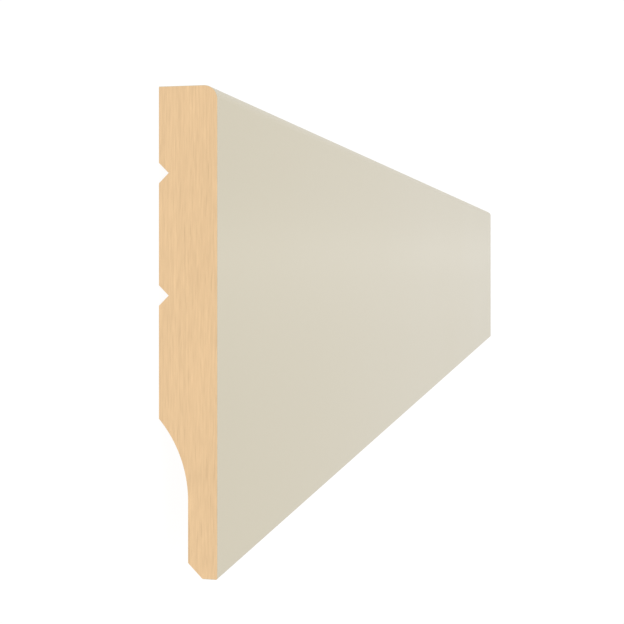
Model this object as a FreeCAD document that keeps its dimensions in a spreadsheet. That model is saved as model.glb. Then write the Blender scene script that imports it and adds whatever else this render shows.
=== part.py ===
"""Skirting board length: one piece of profiled board, cut square at both ends.

The board lies on its back with its painted face up, in millimetres:
    +X runs along the length, with the origin halfway,
    +Y points across the face, from the foot to the rounded top edge,
    +Z points out of the painted face, and the back lies on Z = 0.

It is made in the order of the real work. A plain blank is planed to size, the
relief that leaves the foot is milled out of its back, V grooves are run along
the back, and the long edges are chamfered, rounded and eased.
"""

import FreeCAD, Part
import os
from enum import IntEnum

import Sketcher

NODE = "skirting_board"

SIZES = (
    ("board_length", 875.0, "between the two saw cuts"),
    ("board_height", 120.0, "from the foot's edge to the top edge"),
    ("board_thickness", 15.0, "from the back to the painted face"),
    ("foot_thickness", 7.5, "left between the relief and the painted face"),
    ("relief_height", 38.6, "from the foot's edge to where the cove meets the back"),
    ("cove_radius", 30.0, "of the cove that runs from the back into the foot"),
    ("groove_mouth", 5.0, "width of a V groove where it opens in the back"),
    ("groove_depth", 2.5, "from the back to a V groove's root"),
    ("groove_drop", 21.2, "from the top edge down to the first groove's root"),
    ("groove_pitch", 30.0, "from one groove's root to the next"),
    ("groove_count", 2, "V grooves in the back"),
    ("nose_radius", 3.5, "rounding between the painted face and the top edge"),
    ("heel_chamfer", 3.7, "45 degree chamfer at the back of the foot"),
    ("arris_radius", 0.5, "easing between the painted face and the foot's edge"),
)

EDGE_TOLERANCE = 1e-4


class Point(IntEnum):
    """The point of a line or arc that a constraint holds."""

    START = 1
    END = 2


class Axis(IntEnum):
    """A sketch's own axes, as its constraints number them."""

    X = -1
    Y = -2


START, END = Point.START, Point.END
X_AXIS, Y_AXIS = Axis.X, Axis.Y
ORIGIN = (X_AXIS, START)


def add_size_sheet(doc):
    """Puts the driving sizes in a sheet, each in a row with its name and meaning."""
    sheet = doc.addObject("Spreadsheet::Sheet", "sizes")
    for row, (name, value, meaning) in enumerate(SIZES, start=1):
        sheet.set(f"A{row}", name)
        sheet.set(f"B{row}", str(value))
        sheet.setAlias(f"B{row}", name)
        sheet.set(f"C{row}", meaning)
    doc.recompute()
    return sheet


def add_cross_sketch(body, name):
    """Adds an empty sketch across the board, halfway along: sketch x is Y, sketch y is Z."""
    sketch = body.newObject("Sketcher::SketchObject", name)
    plane = next(item for item in body.Origin.OriginFeatures if item.Role == "YZ_Plane")
    sketch.AttachmentSupport = [(plane, "")]
    sketch.MapMode = "FlatFace"
    return sketch


def add_line(sketch, start, end):
    """Adds a straight line from start to end and returns its index."""
    line = Part.LineSegment(FreeCAD.Vector(*start, 0), FreeCAD.Vector(*end, 0))
    return sketch.addGeometry(line, False)


def hold(sketch, kind, *references):
    """Adds a geometric constraint, such as Horizontal or Coincident."""
    sketch.addConstraint(Sketcher.Constraint(kind, *references))


def drive(sketch, name, kind, *references, value, by):
    """Adds a dimension called name, now value long, that follows the expression by."""
    index = sketch.addConstraint(Sketcher.Constraint(kind, *references, value))
    sketch.renameConstraint(index, name)
    sketch.setExpression(f"Constraints.{name}", by)


def draw_blank(body, sheet):
    """Draws the planed blank, a rectangle that stands on the back's line and is centred on it."""
    sketch = add_cross_sketch(body, "blank_section")
    half, thickness = sheet.board_height / 2, sheet.board_thickness
    back = add_line(sketch, (-half, 0), (half, 0))
    top = add_line(sketch, (half, 0), (half, thickness))
    face = add_line(sketch, (half, thickness), (-half, thickness))
    foot = add_line(sketch, (-half, thickness), (-half, 0))
    for line, following in ((back, top), (top, face), (face, foot), (foot, back)):
        hold(sketch, "Coincident", line, END, following, START)
    hold(sketch, "Horizontal", face)
    hold(sketch, "Vertical", top)
    hold(sketch, "Vertical", foot)
    hold(sketch, "PointOnObject", back, START, X_AXIS)
    hold(sketch, "Symmetric", back, START, back, END, Y_AXIS)
    drive(sketch, "height", "DistanceX", back, START, back, END, value=2 * half, by="sizes.board_height")
    drive(sketch, "thickness", "DistanceY", top, START, top, END, value=thickness,
          by="sizes.board_thickness")
    return sketch


def draw_relief(body, sheet):
    """Draws what is milled off behind the foot: a flat, then a cove that rises to the back."""
    sketch = add_cross_sketch(body, "relief_section")
    half, radius = sheet.board_height / 2, sheet.cove_radius
    depth = sheet.board_thickness - sheet.foot_thickness
    rise = (radius**2 - (radius - depth) ** 2) ** 0.5
    mouth_end = sheet.relief_height - half
    cove_foot = mouth_end - rise

    back = add_line(sketch, (-half, 0), (mouth_end, 0))
    circle = Part.Circle(FreeCAD.Vector(cove_foot, depth - radius, 0), FreeCAD.Vector(0, 0, 1), radius)
    mouth_angle = circle.parameter(FreeCAD.Vector(mouth_end, 0, 0))
    foot_angle = circle.parameter(FreeCAD.Vector(cove_foot, depth, 0))
    cove = sketch.addGeometry(Part.ArcOfCircle(circle, mouth_angle, foot_angle), False)
    flat = add_line(sketch, (cove_foot, depth), (-half, depth))
    foot = add_line(sketch, (-half, depth), (-half, 0))

    hold(sketch, "Coincident", back, END, cove, START)
    hold(sketch, "Tangent", cove, END, flat, START)
    hold(sketch, "Coincident", flat, END, foot, START)
    hold(sketch, "Coincident", foot, END, back, START)
    hold(sketch, "Horizontal", back)
    hold(sketch, "Horizontal", flat)
    hold(sketch, "Vertical", foot)
    hold(sketch, "PointOnObject", back, START, X_AXIS)
    drive(sketch, "foot_edge", "DistanceX", back, START, *ORIGIN, value=half, by="sizes.board_height / 2")
    drive(sketch, "reach", "DistanceX", back, START, back, END, value=sheet.relief_height,
          by="sizes.relief_height")
    drive(sketch, "depth", "DistanceY", foot, END, foot, START, value=depth,
          by="sizes.board_thickness - sizes.foot_thickness")
    drive(sketch, "cove", "Radius", cove, value=radius, by="sizes.cove_radius")
    return sketch


def draw_groove(body, sheet):
    """Draws the V groove nearest the top edge, with its mouth on the back's line."""
    sketch = add_cross_sketch(body, "groove_section")
    root = sheet.board_height / 2 - sheet.groove_drop
    half_mouth, depth = sheet.groove_mouth / 2, sheet.groove_depth
    mouth = add_line(sketch, (root - half_mouth, 0), (root + half_mouth, 0))
    upper = add_line(sketch, (root + half_mouth, 0), (root, depth))
    lower = add_line(sketch, (root, depth), (root - half_mouth, 0))
    for line, following in ((mouth, upper), (upper, lower), (lower, mouth)):
        hold(sketch, "Coincident", line, END, following, START)
    hold(sketch, "Horizontal", mouth)
    hold(sketch, "PointOnObject", mouth, START, X_AXIS)
    hold(sketch, "Equal", upper, lower)
    drive(sketch, "root", "DistanceX", *ORIGIN, lower, START, value=root,
          by="sizes.board_height / 2 - sizes.groove_drop")
    drive(sketch, "mouth", "DistanceX", mouth, START, mouth, END, value=2 * half_mouth,
          by="sizes.groove_mouth")
    drive(sketch, "depth", "DistanceY", mouth, START, upper, END, value=depth, by="sizes.groove_depth")
    return sketch


def add_pad(body, sketch, name, length):
    """Extrudes a sketch to both sides of its plane, to the length that the expression gives."""
    pad = body.newObject("PartDesign::Pad", name)
    pad.Profile = sketch
    pad.SideType = "Symmetric"
    pad.setExpression("Length", length)
    return pad


def add_run(body, sketch, name):
    """Mills a sketch out of the board from end to end."""
    run = body.newObject("PartDesign::Pocket", name)
    run.Profile = sketch
    run.SideType = "Symmetric"
    run.Type = "ThroughAll"
    return run


def repeat_groove(body, sketch, groove):
    """Repeats the groove towards the foot at its pitch."""
    pattern = body.newObject("PartDesign::LinearPattern", "groove_pattern")
    pattern.Originals = [groove]
    pattern.Direction = (sketch, ["H_Axis"])
    pattern.Reversed = True
    pattern.Mode = "Spacing"
    pattern.setExpression("Offset", "sizes.groove_pitch")
    pattern.setExpression("Occurrences", "sizes.groove_count")
    body.Tip = pattern
    return pattern


def long_edge(feature, y, z):
    """Finds the edge that runs along the board at the given place in its section."""
    for index, edge in enumerate(feature.Shape.Edges, start=1):
        ends = [vertex.Point for vertex in edge.Vertexes]
        if all(abs(end.y - y) < EDGE_TOLERANCE and abs(end.z - z) < EDGE_TOLERANCE for end in ends):
            return f"Edge{index}"
    raise RuntimeError(f"no long edge at y {y}, z {z}")


def work_edge(doc, body, kind, name, place, size, expression):
    """Adds a Chamfer or Fillet on the long edge at place, its size set by the expression."""
    doc.recompute()
    base = body.Tip
    edge = long_edge(base, *place)
    feature = body.newObject(f"PartDesign::{kind}", name)
    feature.Base = (base, [edge])
    feature.setExpression(size, expression)
    return feature


def check_features(doc):
    """Stops if any object of the document failed to build."""
    for item in doc.Objects:
        if "Invalid" in item.State or "Error" in item.State:
            raise RuntimeError(f"{item.Label} failed: {item.State}")


def check_cut(before, after):
    """Stops unless the second feature has less material than the first."""
    if after.Shape.Volume >= before.Shape.Volume:
        raise RuntimeError(f"{after.Label} took nothing off {before.Label}")


def check_board(body):
    """Stops unless the board is one sound solid."""
    shape = body.Shape
    if shape.isNull() or not shape.isValid() or len(shape.Solids) != 1:
        raise RuntimeError(f"{body.Label} isn't one sound solid")


def build_board(doc, sheet):
    """Builds the board: blank, relief, grooves, then the three worked edges."""
    body = doc.addObject("PartDesign::Body", NODE)
    body.Label = NODE
    body.Placement = FreeCAD.Placement()

    blank = add_pad(body, draw_blank(body, sheet), "blank", "sizes.board_length")
    relief = add_run(body, draw_relief(body, sheet), "relief")
    groove_section = draw_groove(body, sheet)
    groove = add_run(body, groove_section, "groove")
    grooves = repeat_groove(body, groove_section, groove)

    half, face = sheet.board_height / 2, sheet.board_thickness
    foot_back = face - sheet.foot_thickness
    heel = work_edge(doc, body, "Chamfer", "heel", (-half, foot_back), "Size", "sizes.heel_chamfer")
    nose = work_edge(doc, body, "Fillet", "nose", (half, face), "Radius", "sizes.nose_radius")
    arris = work_edge(doc, body, "Fillet", "arris", (-half, face), "Radius", "sizes.arris_radius")
    doc.recompute()

    check_features(doc)
    steps = (blank, relief, groove, grooves, heel, nose, arris)
    for before, after in zip(steps, steps[1:]):
        if after is not grooves or sheet.groove_count > 1:
            check_cut(before, after)
    check_board(body)
    return body


def main():
    doc = FreeCAD.newDocument("skirting_board_length")
    sheet = add_size_sheet(doc)
    board = build_board(doc, sheet)
    os.makedirs("parts", exist_ok=True)
    board.Shape.exportStep(f"parts/{NODE}.step")
    print(f"{NODE}: {board.Shape.Volume / 1000:.1f} cm3, {len(board.Shape.Faces)} faces")


main()
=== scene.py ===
"""Looks of a skirting board length: pale fibreboard with a satin painted face.

The board lies on its back on a pale floor with its painted face up. +X runs along it, +Y goes
from the foot's edge to the rounded top edge and +Z out of the painted face. Sizes are in metres.
Only the grain of a finish is given in millimetres.
"""

import logging
import math
from collections.abc import Callable, Iterable
from dataclasses import dataclass
from enum import Enum

import bmesh
import bpy
from mathutils import Matrix, Vector


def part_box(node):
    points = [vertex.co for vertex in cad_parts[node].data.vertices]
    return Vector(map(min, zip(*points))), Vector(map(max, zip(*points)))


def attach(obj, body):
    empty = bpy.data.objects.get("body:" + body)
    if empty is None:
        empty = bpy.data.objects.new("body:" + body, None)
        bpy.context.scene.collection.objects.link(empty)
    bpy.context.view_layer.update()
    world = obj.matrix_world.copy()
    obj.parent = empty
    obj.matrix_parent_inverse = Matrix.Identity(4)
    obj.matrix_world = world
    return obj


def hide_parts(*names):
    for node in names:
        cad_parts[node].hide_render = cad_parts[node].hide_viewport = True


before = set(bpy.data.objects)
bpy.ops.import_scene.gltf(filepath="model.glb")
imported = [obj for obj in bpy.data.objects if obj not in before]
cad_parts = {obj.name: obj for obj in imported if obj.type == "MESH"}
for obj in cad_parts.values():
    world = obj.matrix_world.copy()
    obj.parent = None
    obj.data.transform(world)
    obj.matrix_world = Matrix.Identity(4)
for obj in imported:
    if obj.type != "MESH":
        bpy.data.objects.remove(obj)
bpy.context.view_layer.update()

MM = 0.001
NODE = "skirting_board"
LOG = logging.getLogger("skirting")

Colour = tuple[float, float, float]
Grain = tuple[float, float, float]
Place = tuple[float, float, float]
Pair = tuple[float, float]

WHITE: Colour = (1.0, 1.0, 1.0)


class Face(Enum):
    """The finishes that the board's faces wear, each with its material slot."""

    PAINTED = 0
    SAWN = 1
    BACK = 2
    MILLED = 3


class Side(Enum):
    """The board's sides, each as the axis that it faces along and which way."""

    FRONT = (2, 1)
    BACK = (2, -1)
    TOP_EDGE = (1, 1)
    FOOT_EDGE = (1, -1)
    NEAR_END = (0, -1)
    FAR_END = (0, 1)


MAP_SHARES = {
    Side.FRONT: 0.345,
    Side.BACK: 0.30,
    Side.TOP_EDGE: 0.035,
    Side.FOOT_EDGE: 0.03,
    Side.NEAR_END: 0.115,
    Side.FAR_END: 0.115,
}


class Mix(Enum):
    """The ways to mix two colours."""

    COVER = "MIX"
    MULTIPLY = "MULTIPLY"


@dataclass(frozen=True)
class Value:
    """A number that changes over a surface, held by a node's output socket."""

    graph: "Graph"
    socket: bpy.types.NodeSocket

    def __add__(self, other: "Value | float") -> "Value":
        """Adds."""
        return self.graph.maths("ADD", self, other)

    def __sub__(self, other: "Value | float") -> "Value":
        """Subtracts."""
        return self.graph.maths("SUBTRACT", self, other)

    def __rsub__(self, other: "Value | float") -> "Value":
        """Subtracts this from another."""
        return self.graph.maths("SUBTRACT", other, self)

    def __mul__(self, other: "Value | float") -> "Value":
        """Multiplies."""
        return self.graph.maths("MULTIPLY", self, other)

    __radd__ = __add__
    __rmul__ = __mul__


Input = Value | float | Colour | bpy.types.NodeSocket


class Graph:
    """Builds the node tree of a material or a world."""

    def __init__(self, owner: bpy.types.Material | bpy.types.World) -> None:
        """Opens the owner's node tree and empties it.

        Args:
            owner: What the tree belongs to.
        """
        owner.use_nodes = True
        self.owner = owner
        self.tree = owner.node_tree
        self.tree.nodes.clear()

    def node(
        self,
        kind: str,
        settings: dict[str, object] | None = None,
        inputs: dict[str | int, Input] | None = None,
    ) -> bpy.types.Node:
        """Adds a node.

        Args:
            kind: The node's type.
            settings: Its own settings, such as a Math node's operation.
            inputs: What its sockets hold, or are linked to.

        Returns:
            The node.
        """
        node = self.tree.nodes.new(kind)
        for name, setting in (settings or {}).items():
            setattr(node, name, setting)
        for name, given in (inputs or {}).items():
            socket = node.inputs[name]
            if isinstance(given, Value):
                given = given.socket
            if isinstance(given, bpy.types.NodeSocket):
                self.tree.links.new(given, socket)
            elif socket.type == "RGBA":
                socket.default_value = (*given, 1.0)
            else:
                socket.default_value = given
        return node

    def maths(self, operation: str, *numbers: Value | float) -> Value:
        """Works on numbers with a Math node of the named operation."""
        node = self.node("ShaderNodeMath", {"operation": operation}, dict(enumerate(numbers)))
        return Value(self, node.outputs[0])


class Surface(Graph):
    """Builds a material that follows the board's own Object coordinates.

    The Mix node has one set of sockets for each kind of data, with the same names in each, so its
    colour sockets go by number.
    """

    MIX_FACTOR, MIX_UNDER, MIX_OVER, MIX_RESULT = 0, 6, 7, 2
    SEED_WAY = (1.0, 2.3, 3.7)

    def __init__(self, name: str) -> None:
        """Starts a material.

        Args:
            name: The material's name.
        """
        super().__init__(bpy.data.materials.new(name))
        self.place = self.node("ShaderNodeTexCoord").outputs["Object"]
        split = self.node("ShaderNodeSeparateXYZ", inputs={"Vector": self.place})
        self.x, self.y, self.z = (Value(self, split.outputs[axis]) for axis in "XYZ")

    def ramp(self, value: Value, low: float, high: float) -> Value:
        """Turns a value into a smooth step from 0 at low to 1 at high.

        Args:
            value: What is read.
            low: Where the step starts.
            high: Where it ends. It may be under low, for a step down.

        Returns:
            The step.
        """
        if low > high:
            return 1 - self.ramp(value, high, low)
        node = self.node(
            "ShaderNodeMapRange",
            {"interpolation_type": "SMOOTHSTEP"},
            {"Value": value, "From Min": low, "From Max": high},
        )
        return Value(self, node.outputs["Result"])

    def noise(self, grain: Grain, detail: float, seed: float = 0.0) -> Value:
        """Makes noise that is centred on 0 and is stretched to its own grain.

        Args:
            grain: The grain's size along X, Y and Z in millimetres.
            detail: How many finer octaves it has.
            seed: A shift that sets it apart from noise of the same grain.

        Returns:
            The noise, from about -0.5 to 0.5.
        """
        mapping = self.node(
            "ShaderNodeMapping",
            inputs={
                "Vector": self.place,
                "Scale": tuple(1 / (size * MM) for size in grain),
                "Location": tuple(seed * share for share in self.SEED_WAY),
            },
        )
        texture = self.node(
            "ShaderNodeTexNoise",
            inputs={"Vector": mapping.outputs[0], "Scale": 1.0, "Detail": detail},
        )
        return Value(self, texture.outputs["Fac"]) - 0.5

    def blend(
        self, share: Value | float, under: Input, over: Input, way: Mix = Mix.COVER
    ) -> bpy.types.NodeSocket:
        """Mixes two colours.

        Args:
            share: How much of the second counts.
            under: The first colour.
            over: The second colour.
            way: How they mix.

        Returns:
            The colour's socket.
        """
        node = self.node(
            "ShaderNodeMix",
            {"data_type": "RGBA", "blend_type": way.value},
            {self.MIX_FACTOR: share, self.MIX_UNDER: under, self.MIX_OVER: over},
        )
        return node.outputs[self.MIX_RESULT]

    def shade(self, colour: Input, by: Value) -> bpy.types.NodeSocket:
        """Multiplies a colour by a number about 1, for light and dark in the same hue."""
        grey = self.node("ShaderNodeCombineColor", inputs={"Red": by, "Green": by, "Blue": by})
        return self.blend(1.0, colour, grey.outputs[0], Mix.MULTIPLY)

    def finish(
        self, colour: Input, roughness: Value | float, shine: float, relief: Value, depth: float
    ) -> bpy.types.Material:
        """Ends the tree in a Principled shader.

        Args:
            colour: The base colour.
            roughness: The roughness.
            shine: The Specular IOR Level.
            relief: The height that the bump follows, about -0.5 to 0.5.
            depth: The relief's real height for a change of 1.

        Returns:
            The material.
        """
        bump = self.node(
            "ShaderNodeBump", inputs={"Strength": 1.0, "Distance": depth, "Height": relief}
        )
        shader = self.node(
            "ShaderNodeBsdfPrincipled",
            inputs={
                "Base Color": colour,
                "Roughness": roughness,
                "Specular IOR Level": shine,
                "Normal": bump.outputs[0],
            },
        )
        self.node("ShaderNodeOutputMaterial", inputs={"Surface": shader.outputs[0]})
        return self.owner


@dataclass(frozen=True)
class SatinPaint:
    """Sprayed satin paint in a warm pale grey: a nearly flat film with a faint orange peel."""

    colour: Colour = (0.552, 0.502, 0.377)
    roughness: float = 0.30
    shine: float = 0.28
    peel_grain: Grain = (1.6, 1.6, 1.6)
    peel_depth: float = 0.006 * MM
    peel_tone: float = 0.006
    peel_gloss: float = 0.03
    cloud_grain: Grain = (180, 90, 90)
    cloud_tone: float = 0.012
    cloud_gloss: float = 0.05

    def material(self) -> bpy.types.Material:
        """Makes the paint's material.

        Returns:
            The material.
        """
        surface = Surface("satin_paint")
        peel = surface.noise(self.peel_grain, detail=1.0)
        cloud = surface.noise(self.cloud_grain, detail=2.0, seed=4.0)
        tone = 1 + self.cloud_tone * cloud + self.peel_tone * peel
        roughness = self.roughness + self.cloud_gloss * cloud + self.peel_gloss * peel
        return surface.finish(
            surface.shade(self.colour, tone), roughness, self.shine, peel, self.peel_depth
        )


@dataclass(frozen=True)
class Fibreboard:
    """Raw fibreboard, its fibres laid flat in thin layers parallel to the painted face."""

    colour: Colour = (0.714, 0.495, 0.281)
    mist: Colour = SatinPaint.colour
    roughness: float = 0.88
    shine: float = 0.25
    band_grain: Grain = (60, 140, 0.5)
    band_share: float = 0.35
    streak_grain: Grain = (6, 6, 0.45)
    vein_grain: Grain = (8, 8, 0.42)
    vein_share: float = 0.3
    vein_edge: Pair = (0.10, 0.26)

    def layers(self, surface: Surface) -> Value:
        """Draws the layers as they show where they are cut across: fine streaks along the face.

        Args:
            surface: The material that they are for.

        Returns:
            The streaks, about 0.
        """
        bands = surface.noise(self.band_grain, detail=1.0, seed=1.0)
        streaks = surface.noise(self.streak_grain, detail=2.0, seed=2.0)
        veins = surface.ramp(surface.noise(self.vein_grain, detail=1.0, seed=9.0), *self.vein_edge)
        return self.band_share * bands + streaks - self.vein_share * veins


@dataclass(frozen=True)
class SawnEnd(Fibreboard):
    """The square saw cut, with the paint film edge-on round the front."""

    contrast: float = 0.27
    patch_grain: Grain = (22, 22, 5)
    patch_share: float = 0.08
    depth: float = 0.05 * MM
    film_edge: Pair = (1.3, 0.7)
    film_waver: float = 0.3

    def material(self, film: float, nose: float, low: Vector, high: Vector) -> bpy.types.Material:
        """Makes the sawn end's material.

        Args:
            film: The paint film's thickness.
            nose: The radius of the rounding at the top edge.
            low: The board's lowest corner.
            high: Its highest corner.

        Returns:
            The material.
        """
        surface = Surface("sawn_fibreboard")
        layers = self.layers(surface)
        patch = surface.noise(self.patch_grain, detail=1.0, seed=3.0)
        wood = surface.shade(self.colour, 1 + self.contrast * layers + self.patch_share * patch)
        up = surface.maths("MAXIMUM", surface.y - (high.y - nose), 0.0)
        out = surface.maths("MAXIMUM", surface.z - (high.z - nose), 0.0)
        from_front = nose - surface.maths("SQRT", up * up + out * out)
        inwards = surface.maths("MINIMUM", from_front, surface.y - low.y)
        start, end = (film * share for share in self.film_edge)
        paint = surface.ramp(inwards + self.film_waver * film * layers, start, end)
        return surface.finish(
            surface.blend(paint, wood, self.mist), self.roughness, self.shine, layers, self.depth
        )


@dataclass(frozen=True)
class SandedBack(Fibreboard):
    """The sanded back, with a little paint mist along the top edge."""

    tone: float = 0.95
    cloud_grain: Grain = (60, 25, 20)
    cloud_share: float = 0.10
    along_grain: Grain = (2.6, 0.35, 0.6)
    across_grain: Grain = (0.4, 1.9, 0.6)
    across_share: float = 0.7
    fibre_share: float = 0.09
    depth: float = 0.03 * MM
    mist_share: float = 0.8
    mist_edge: Pair = (2.2 * MM, 0.2 * MM)
    mist_waver: float = 3 * MM

    def material(self, top_edge: float) -> bpy.types.Material:
        """Makes the back's material.

        Args:
            top_edge: The top edge's place along Y.

        Returns:
            The material.
        """
        surface = Surface("sanded_back")
        cloud = surface.noise(self.cloud_grain, detail=3.0, seed=5.0)
        along = surface.noise(self.along_grain, detail=2.0, seed=6.0)
        across = surface.noise(self.across_grain, detail=2.0, seed=7.0)
        fibres = along + self.across_share * across
        tone = self.tone + self.cloud_share * cloud + self.fibre_share * fibres
        start, end = (top_edge - inside for inside in self.mist_edge)
        mist = self.mist_share * surface.ramp(surface.y + self.mist_waver * cloud, start, end)
        board = surface.shade(self.colour, tone)
        return surface.finish(
            surface.blend(mist, board, self.mist), self.roughness, self.shine, fibres, self.depth
        )


@dataclass(frozen=True)
class MilledBack(Fibreboard):
    """The milled relief and grooves, with the cutter's faint marks across their run."""

    tone: float = 0.93
    layer_share: float = 0.10
    cloud_grain: Grain = (50, 8, 8)
    cloud_share: float = 0.08
    mark_pitch: float = 1.7 * MM
    mark_waver: float = 1.5 * MM
    mark_share: float = 0.008
    depth: float = 0.02 * MM
    mark_height: float = 0.4
    mist_share: float = 0.85
    mist_reach: float = 2.6 * MM
    mist_waver: float = 0.4 * MM

    def material(self, heel_top: float) -> bpy.types.Material:
        """Makes the milled faces' material.

        Args:
            heel_top: The height at which the heel's chamfer meets the painted foot's edge.

        Returns:
            The material.
        """
        surface = Surface("milled_fibreboard")
        layers = self.layers(surface)
        cloud = surface.noise(self.cloud_grain, detail=2.0, seed=8.0)
        turns = (surface.x + self.mark_waver * cloud) * (2 * math.pi / self.mark_pitch)
        marks = surface.maths("SINE", turns)
        tone = self.tone + self.layer_share * layers + self.cloud_share * cloud
        board = surface.shade(self.colour, tone + self.mark_share * marks)
        height = surface.z - self.mist_waver * cloud
        mist = self.mist_share * surface.ramp(height, heel_top - self.mist_reach, heel_top)
        return surface.finish(
            surface.blend(mist, board, self.mist),
            self.roughness,
            self.shine,
            layers + self.mark_height * marks,
            self.depth,
        )


class Workpiece:
    """A mesh that is shaped in edit mode, its vertices and edges picked by their place."""

    ROUND_PROFILE = 0.5
    SAME_PLANE = math.radians(0.1)
    SAME_POINT = 1e-7
    FLATS_LEAD = 100

    def __init__(self, name: str, low: Vector, high: Vector) -> None:
        """Adds a block between two corners and opens it in edit mode.

        Args:
            name: The object's name.
            low: The block's lowest corner.
            high: Its highest corner.
        """
        bpy.ops.object.select_all(action="DESELECT")
        bpy.ops.mesh.primitive_cube_add(size=1, location=(low + high) / 2, scale=high - low)
        self.item = bpy.context.object
        self.item.name = name
        bpy.ops.object.transform_apply(location=True, rotation=True, scale=True)
        bpy.ops.object.mode_set(mode="EDIT")

    def cut_along(self, place: float) -> None:
        """Cuts the block from end to end at a place along Y, without taking anything off."""
        bpy.ops.mesh.select_all(action="SELECT")
        bpy.ops.mesh.bisect(plane_co=(0, place, 0), plane_no=(0, 1, 0))

    def pick_vertices(self, wanted: Callable[[Vector], bool]) -> None:
        """Selects some vertices and nothing else.

        Args:
            wanted: Says of a vertex's place whether it is selected.
        """
        bpy.ops.mesh.select_mode(type="VERT")
        bpy.ops.mesh.select_all(action="DESELECT")
        mesh = bmesh.from_edit_mesh(self.item.data)
        for vertex in mesh.verts:
            vertex.select = wanted(vertex.co)
        mesh.select_flush_mode()
        bmesh.update_edit_mesh(self.item.data)

    def pick_edges(self, wanted: Callable[[bmesh.types.BMEdge], bool]) -> None:
        """Selects some edges and nothing else.

        Args:
            wanted: Says of an edge whether it is selected.
        """
        bpy.ops.mesh.select_mode(type="EDGE")
        bpy.ops.mesh.select_all(action="DESELECT")
        mesh = bmesh.from_edit_mesh(self.item.data)
        for edge in mesh.edges:
            edge.select = wanted(edge)
        bmesh.update_edit_mesh(self.item.data)

    def raise_picked(self, height: float) -> None:
        """Moves what is selected up by a height."""
        bpy.ops.transform.translate(value=(0, 0, height))

    def bevel_picked(self, size: float, steps: int) -> None:
        """Bevels the selected edges.

        Args:
            size: The bevel's width along each face.
            steps: Its segments: 1 for a chamfer.
        """
        bpy.ops.mesh.bevel(
            offset_type="OFFSET",
            offset=size,
            segments=steps,
            profile=self.ROUND_PROFILE,
            affect="EDGES",
            loop_slide=False,
            clamp_overlap=True,
        )

    def drop_spare_cuts(self) -> None:
        """Joins faces that lie in one plane again."""
        bpy.ops.mesh.select_all(action="SELECT")
        bpy.ops.mesh.dissolve_limited(angle_limit=self.SAME_PLANE)

    def close(self, smooth_angle: float) -> None:
        """Leaves edit mode, with rounded stretches shaded smooth and flat faces flat.

        Args:
            smooth_angle: The largest angle that is shaded smooth, in radians.
        """
        bpy.ops.mesh.select_all(action="SELECT")
        bpy.ops.mesh.remove_doubles(threshold=self.SAME_POINT)
        bpy.ops.mesh.normals_make_consistent(inside=False)
        bpy.ops.object.mode_set(mode="OBJECT")
        bpy.ops.object.shade_smooth_by_angle(angle=smooth_angle)
        weighted = self.item.modifiers.new("flat_faces_lead", "WEIGHTED_NORMAL")
        weighted.keep_sharp = True
        weighted.weight = self.FLATS_LEAD
        bpy.ops.object.modifier_apply(modifier=weighted.name)


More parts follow.
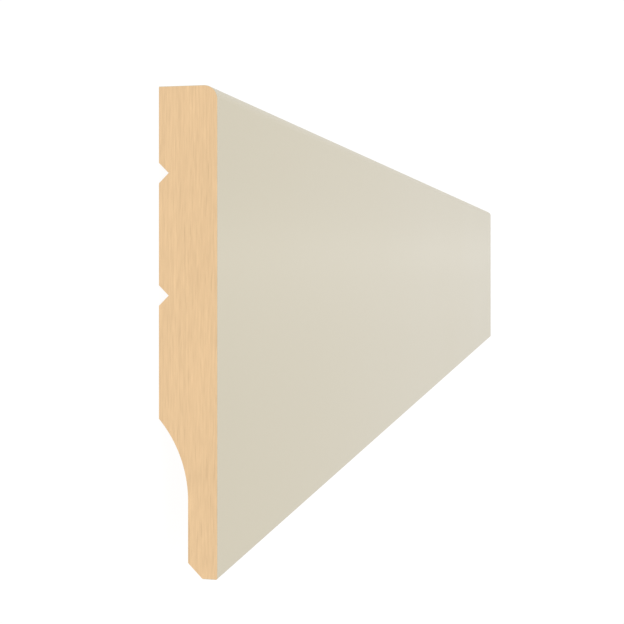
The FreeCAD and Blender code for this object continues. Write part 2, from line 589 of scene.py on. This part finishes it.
@dataclass
class SkirtingBoard:
    """The board: one milled and painted length."""

    low: Vector
    high: Vector
    foot_thickness: float = 7.5 * MM
    relief_height: float = 38.6 * MM
    cove_radius: float = 30 * MM
    cove_steps: int = 28
    groove_mouth: float = 5 * MM
    groove_depth: float = 2.5 * MM
    groove_drop: float = 21.2 * MM
    groove_pitch: float = 30 * MM
    groove_count: int = 2
    nose_radius: float = 3.5 * MM
    nose_steps: int = 18
    heel_chamfer: float = 3.7 * MM
    arris_radius: float = 0.5 * MM
    arris_steps: int = 5
    paint_film: float = 0.08 * MM
    slack: float = 0.001 * MM
    endwards: float = 0.5
    edgewards: float = 0.99
    smooth_angle: float = math.radians(35)
    map_margin: float = 0.005

    @property
    def foot_back(self) -> float:
        """The height of the foot's back over the board's back."""
        return self.high.z - self.foot_thickness

    @property
    def cove_mouth(self) -> float:
        """Where the cove meets the back, along Y."""
        return self.low.y + self.relief_height

    @property
    def cove_foot(self) -> float:
        """Where the cove runs out into the foot's back, along Y."""
        over = self.cove_radius - self.foot_back
        return self.cove_mouth - math.sqrt(self.cove_radius**2 - over**2)

    def cove_places(self) -> Iterable[tuple[float, float]]:
        """Steps round the cove from its foot to its mouth.

        Yields:
            Each station's place along Y and its height.
        """
        centre = self.foot_back - self.cove_radius
        turn = math.asin((self.cove_mouth - self.cove_foot) / self.cove_radius)
        for step in range(self.cove_steps + 1):
            angle = turn * step / self.cove_steps
            yield (
                self.cove_foot + self.cove_radius * math.sin(angle),
                centre + self.cove_radius * math.cos(angle),
            )

    def groove_roots(self) -> Iterable[float]:
        """Goes from groove to groove, from the top edge down.

        Yields:
            Each groove's root along Y.
        """
        first = self.high.y - self.groove_drop
        for index in range(self.groove_count):
            yield first - index * self.groove_pitch

    def on_back(self, place: float) -> Callable[[Vector], bool]:
        """Returns a test for vertices of the back's plane at a place along Y."""
        return lambda at: abs(at.z - self.low.z) < self.slack and abs(at.y - place) < self.slack

    def runs_at(self, place: float, height: float) -> Callable[[bmesh.types.BMEdge], bool]:
        """Makes a test for edges that run the length of the board.

        Args:
            place: The edge's place along Y.
            height: Its height.

        Returns:
            The test.
        """
        return lambda edge: all(
            abs(end.co.y - place) < self.slack and abs(end.co.z - height) < self.slack
            for end in edge.verts
        )

    def mill_back(self, work: Workpiece) -> None:
        """Mills the back: the foot's relief with its cove, and the V grooves.

        Args:
            work: The block that is milled.
        """
        depths = {self.low.y: self.foot_back, **dict(self.cove_places())}
        half_mouth = self.groove_mouth / 2
        for root in self.groove_roots():
            depths |= {root - half_mouth: 0.0, root: self.groove_depth, root + half_mouth: 0.0}
        for place in sorted(depths)[1:]:
            work.cut_along(place)
        for place, depth in depths.items():
            if depth > self.slack:
                work.pick_vertices(self.on_back(place))
                work.raise_picked(depth)
        work.drop_spare_cuts()

    def work_edges(self, work: Workpiece) -> None:
        """Chamfers the heel, rounds the nose and eases the arris.

        Args:
            work: The milled block.
        """
        work.pick_edges(self.runs_at(self.low.y, self.foot_back))
        work.bevel_picked(self.heel_chamfer, 1)
        work.pick_edges(self.runs_at(self.high.y, self.high.z))
        work.bevel_picked(self.nose_radius, self.nose_steps)
        work.pick_edges(self.runs_at(self.low.y, self.high.z))
        work.bevel_picked(self.arris_radius, self.arris_steps)

    def face_of(self, polygon: bpy.types.MeshPolygon) -> Face:
        """Says which finish a polygon wears, from where it lies and faces.

        Args:
            polygon: The polygon.

        Returns:
            Its finish.
        """
        centre, normal = polygon.center, polygon.normal
        if abs(normal.x) > self.endwards:
            return Face.SAWN
        on_edge = abs(normal.y) > self.edgewards and abs(centre.y) > self.high.y - self.slack
        if normal.z > 0 or on_edge:
            return Face.PAINTED
        return Face.BACK if centre.z < self.low.z + self.slack else Face.MILLED

    def dress(self, item: bpy.types.Object) -> None:
        """Gives each face its finish.

        Args:
            item: The board's object.
        """
        finishes = {
            Face.PAINTED: SatinPaint().material(),
            Face.SAWN: SawnEnd().material(self.paint_film, self.nose_radius, self.low, self.high),
            Face.BACK: SandedBack().material(self.high.y),
            Face.MILLED: MilledBack().material(self.foot_back + self.heel_chamfer),
        }
        item.data.materials.clear()
        for face in Face:
            item.data.materials.append(finishes[face])
        for polygon in item.data.polygons:
            polygon.material_index = self.face_of(polygon).value

    def map_rows(self) -> dict[Side, Pair]:
        """Shares the map's height out, with much room for the fine grain of the small sawn ends.

        Returns:
            The lowest and highest row of each side.
        """
        rows = {}
        low = self.map_margin
        for side, share in MAP_SHARES.items():
            rows[side] = (low, low + share)
            low += share + 2 * self.map_margin
        return rows

    def map_faces(self, item: bpy.types.Object) -> None:
        """Lays the faces out flat on a map for baking.

        Args:
            item: The board's object.
        """
        rows = self.map_rows()
        width = 1 - 2 * self.map_margin
        layer = item.data.uv_layers.new(name="OFBake")
        size = self.high - self.low
        for polygon in item.data.polygons:
            axis = max(range(3), key=lambda way: abs(polygon.normal[way]))
            low, high = rows[Side((axis, 1 if polygon.normal[axis] > 0 else -1))]
            along, across = (1, 2) if axis == 0 else (0, 3 - axis)
            for loop in polygon.loop_indices:
                at = item.data.vertices[item.data.loops[loop].vertex_index].co - self.low
                layer.data[loop].uv = (
                    self.map_margin + width * at[along] / size[along],
                    low + (high - low) * at[across] / size[across],
                )

    def build(self) -> bpy.types.Object:
        """Builds, dresses and places the board.

        Returns:
            The board's object.
        """
        work = Workpiece("profiled_board", self.low, self.high)
        self.mill_back(work)
        self.work_edges(work)
        work.close(self.smooth_angle)
        self.dress(work.item)
        self.map_faces(work.item)
        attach(work.item, "root")
        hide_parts(NODE)
        return work.item


@dataclass(frozen=True)
class Lamp:
    """A soft rectangular lamp."""

    name: str
    place: Place
    aim: Place
    size: Pair
    watts: float

    def hang(self) -> bpy.types.Object:
        """Hangs the lamp where the camera doesn't see it.

        Returns:
            The lamp's object.
        """
        data = bpy.data.lights.new(self.name, "AREA")
        data.shape = "RECTANGLE"
        data.size, data.size_y = self.size
        data.energy = self.watts
        item = bpy.data.objects.new(self.name, data)
        bpy.context.scene.collection.objects.link(item)
        item.location = self.place
        towards = Vector(self.place) - Vector(self.aim)
        item.rotation_euler = towards.to_track_quat("Z", "Y").to_euler()
        item.visible_camera = False
        return item


@dataclass(frozen=True)
class FarLamp:
    """One of the small lamps past the far end: its height, its place along Y and its power."""

    height: float
    aside: float
    watts: float


@dataclass(frozen=True)
class Viewpoint:
    """The photograph's angle: before the near end, looking down on the painted face."""

    lens: float = 68.13
    sensor: float = 36.0
    frame_rows: int = 624
    rows_off_centre: float = 57.37
    before_end: float = 273.7 * MM
    across: float = 18.82 * MM
    height: float = 101.1 * MM
    look_down: float = math.radians(12.888)
    nearest: float = 10 * MM

    def stand(self, low: Vector) -> bpy.types.Object:
        """Stands the camera there, rolled so that the painted face is on the right.

        Args:
            low: The board's lowest corner.

        Returns:
            The camera.
        """
        data = bpy.data.cameras.new("camera")
        data.lens, data.sensor_width = self.lens, self.sensor
        data.shift_y = -self.rows_off_centre / self.frame_rows
        data.clip_start = self.nearest
        camera = bpy.data.objects.new("camera", data)
        bpy.context.scene.collection.objects.link(camera)
        right = Vector((math.sin(self.look_down), 0, math.cos(self.look_down)))
        up = Vector((0, 1, 0))
        turn = Matrix((right, up, right.cross(up))).transposed().to_4x4()
        place = Vector((low.x - self.before_end, self.across, low.z + self.height))
        camera.matrix_world = Matrix.Translation(place) @ turn
        bpy.context.scene.camera = camera
        return camera


@dataclass
class Studio:
    """The pale floor and the soft light.

    A broad lamp lights the near end. The small lamps hang a long way past the far end, and
    together they draw the soft sheen that runs along the painted face.
    """

    low: Vector
    high: Vector
    floor_half: float = 30.0
    floor_gap: float = 0.2 * MM
    floor_glow: float = 0.955
    floor_grey: float = 0.08
    floor_roughness: float = 0.9
    sky_seen: float = 1.05
    sky_light: float = 0.95
    sky_lean: Place = (-0.06, 0.09, 0.15)
    near_place: Place = (-2.6, -0.2, 0.9)
    near_size: Pair = (2.0, 2.8)
    near_watts: float = 12.0
    far_reach: float = 4.0
    far_size: Pair = (0.03, 0.10)
    far_lamps: tuple[FarLamp, ...] = (
        FarLamp(height=0.9, aside=0.022, watts=0.08),
        FarLamp(height=0.9, aside=-0.20, watts=0.022),
        FarLamp(height=1.8, aside=0.034, watts=0.38),
        FarLamp(height=2.4, aside=-0.283, watts=0.75),
    )

    def floor(self) -> bpy.types.Object:
        """Lays a pale, faintly glowing floor just under the board.

        It shows from above alone, so that the back can be looked at from below, and it lights
        nothing, which leaves the light to the sky.

        Returns:
            The floor.
        """
        bpy.ops.object.select_all(action="DESELECT")
        below_board = (0, 0, self.low.z - self.floor_gap)
        bpy.ops.mesh.primitive_plane_add(size=2 * self.floor_half, location=below_board)
        floor = bpy.context.object
        floor.name = "floor"
        floor.visible_diffuse = floor.visible_glossy = floor.visible_shadow = False
        graph = Graph(bpy.data.materials.new("pale_floor"))
        pale = graph.node(
            "ShaderNodeBsdfPrincipled",
            inputs={
                "Base Color": (self.floor_grey,) * 3,
                "Roughness": self.floor_roughness,
                "Specular IOR Level": 0.0,
                "Emission Color": WHITE,
                "Emission Strength": self.floor_glow,
            },
        )
        clear = graph.node("ShaderNodeBsdfTransparent")
        underside = graph.node("ShaderNodeNewGeometry").outputs["Backfacing"]
        sides = graph.node(
            "ShaderNodeMixShader", inputs={0: underside, 1: pale.outputs[0], 2: clear.outputs[0]}
        )
        graph.node("ShaderNodeOutputMaterial", inputs={"Surface": sides.outputs[0]})
        floor.data.materials.append(graph.owner)
        return floor

    def sky(self) -> bpy.types.World:
        """Sets a white surround, a little brighter above, past the top edge and past the near end.

        Returns:
            The world.
        """
        graph = Graph(bpy.data.worlds.new("studio"))
        way = graph.node("ShaderNodeTexCoord").outputs["Generated"]
        lean = graph.node(
            "ShaderNodeVectorMath", {"operation": "DOT_PRODUCT"}, {0: way, 1: self.sky_lean}
        )
        light = self.sky_light + Value(graph, lean.outputs["Value"])
        seen = Value(graph, graph.node("ShaderNodeLightPath").outputs["Is Camera Ray"])
        strength = light + seen * (self.sky_seen - light)
        sky = graph.node("ShaderNodeBackground", inputs={"Color": WHITE, "Strength": strength})
        graph.node("ShaderNodeOutputWorld", inputs={"Surface": sky.outputs[0]})
        bpy.context.scene.world = graph.owner
        return graph.owner

    def lamps(self) -> Iterable[Lamp]:
        """Goes from lamp to lamp.

        Yields:
            The broad lamp at the near end, then the small ones past the far end.
        """
        near_end = (self.low.x, 0, 0)
        yield Lamp("near_lamp", self.near_place, near_end, self.near_size, self.near_watts)
        reach = self.high.x + self.far_reach
        for number, far in enumerate(self.far_lamps, start=1):
            place, aim = (reach, far.aside, far.height), (0, far.aside, 0)
            yield Lamp(f"far_lamp_{number}", place, aim, self.far_size, far.watts)

    def set_up(self) -> None:
        """Builds the studio."""
        self.floor()
        self.sky()
        for lamp in self.lamps():
            lamp.hang()
        Viewpoint().stand(self.low)
        view = bpy.context.scene.view_settings
        view.view_transform = "Standard"
        view.look = "None"


def main() -> None:
    """Builds the board and the studio round it."""
    logging.basicConfig(level=logging.INFO, format="%(name)s: %(message)s")
    low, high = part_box(NODE)
    board = SkirtingBoard(low, high).build()
    LOG.info("%s: %d faces", board.name, len(board.data.polygons))
    Studio(low, high).set_up()
    LOG.info("studio: a floor, %d lamps and a camera", len(bpy.data.lights))


if __name__ == "__main__":
    main()
